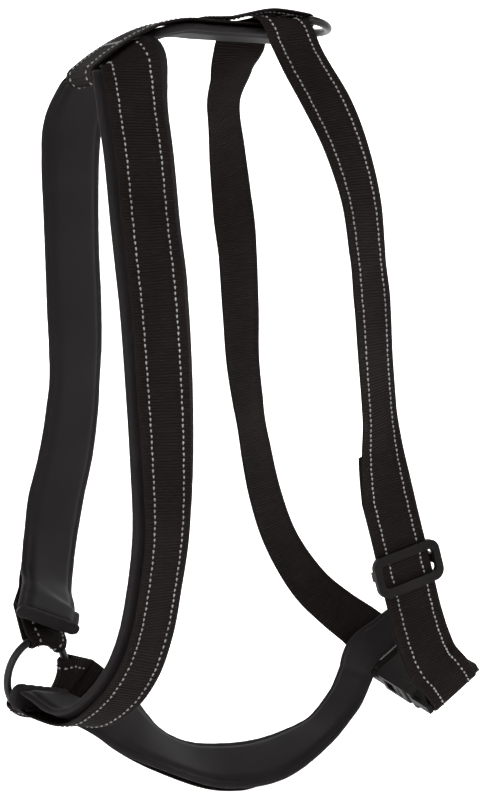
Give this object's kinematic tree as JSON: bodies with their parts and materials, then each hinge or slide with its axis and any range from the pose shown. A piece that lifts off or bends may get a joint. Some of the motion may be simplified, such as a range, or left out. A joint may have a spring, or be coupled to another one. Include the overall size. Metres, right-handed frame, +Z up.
{
  "type": "dog walking harness",
  "caption": "Padded Y-front walking harness for a dog: neck, back, chest and girth straps with a chest ring, leash ring, slider and side-release buckle.",
  "frame": {"origin": "middle of the back pad's flat underside, above the girth strap, where the dog's back carries the harness", "axes": "+X to the dog's head, +Y to the dog's left, which is the buckle's side, +Z up"},
  "size_m": [0.2071, 0.1259, 0.3434],
  "materials": {
    "webbing": "black ribbed polyester webbing, matt",
    "neoprene": "charcoal neoprene with a smooth knitted face, matt",
    "reflective_thread": "light grey reflective sewing thread",
    "buckle_plastic": "black moulded acetal, satin",
    "ring_steel": "black coated steel wire, satin"
  },
  "bodies": {
    "root": {"left_neck_webbing": "webbing", "left_neck_pad": "neoprene", "left_neck_pad_hem": "neoprene", "right_neck_webbing": "webbing", "right_neck_pad": "neoprene", "right_neck_pad_hem": "neoprene", "left_neck_bartack": "reflective_thread", "right_neck_bartack": "reflective_thread", "belly_bartack": "reflective_thread", "right_girth_bartack": "reflective_thread", "back_bartack_front": "reflective_thread", "back_bartack_rear": "reflective_thread", "back_webbing": "webbing", "back_pad": "neoprene", "belly_webbing": "webbing", "belly_pad": "neoprene", "belly_sleeve": "webbing", "right_girth_webbing": "webbing", "left_girth_webbing_upper": "webbing", "buckle_female": "buckle_plastic"},
    "adjuster": {"left_girth_webbing_lower": "webbing", "buckle_male": "buckle_plastic"},
    "slider": {"slider": "buckle_plastic"},
    "prong_front": {"buckle_prong_front": "buckle_plastic"},
    "prong_rear": {"buckle_prong_rear": "buckle_plastic"},
    "chest_ring": {"chest_ring": "ring_steel"},
    "leash_ring": {"leash_d_ring": "ring_steel"}
  },
  "joints": [
    {"name": "chest_ring_spin", "type": "hinge", "parent": "root", "child": "chest_ring", "pos_m": [0.105, -0.002, -0.268], "axis": [-0.2707, 0.9574, -0.1003], "continuous": true},
    {"name": "leash_ring_swing", "type": "hinge", "parent": "root", "child": "leash_ring", "pos_m": [-0.02, 0, 0.00825], "axis": [0, 1, 0], "range_deg": [-36, 133]},
    {"name": "buckle_release", "type": "slide", "parent": "root", "child": "adjuster", "axis": [0.0501, 0.9915, -0.1202], "range_m": [0, 0.034], "deforming": ["buckle_prong_front", "buckle_prong_rear"]},
    {"name": "prong_front_squeeze", "type": "hinge", "parent": "adjuster", "child": "prong_front", "pos_m": [-0.06107, 0.03711, -0.28803], "axis": [-0.5982, -0.0666, -0.7985], "range_deg": [0, 7], "stiffness_Nm_per_rad": 1},
    {"name": "prong_rear_squeeze", "type": "hinge", "parent": "adjuster", "child": "prong_rear", "pos_m": [-0.07851, 0.03955, -0.27517], "axis": [0.5982, 0.0666, 0.7985], "range_deg": [0, 7], "stiffness_Nm_per_rad": 1},
    {"name": "slider_travel", "type": "slide", "parent": "adjuster", "child": "slider", "axis": [0.26, -0.035, 0.965], "range_m": [-0.008, 0.016]}
  ]
}
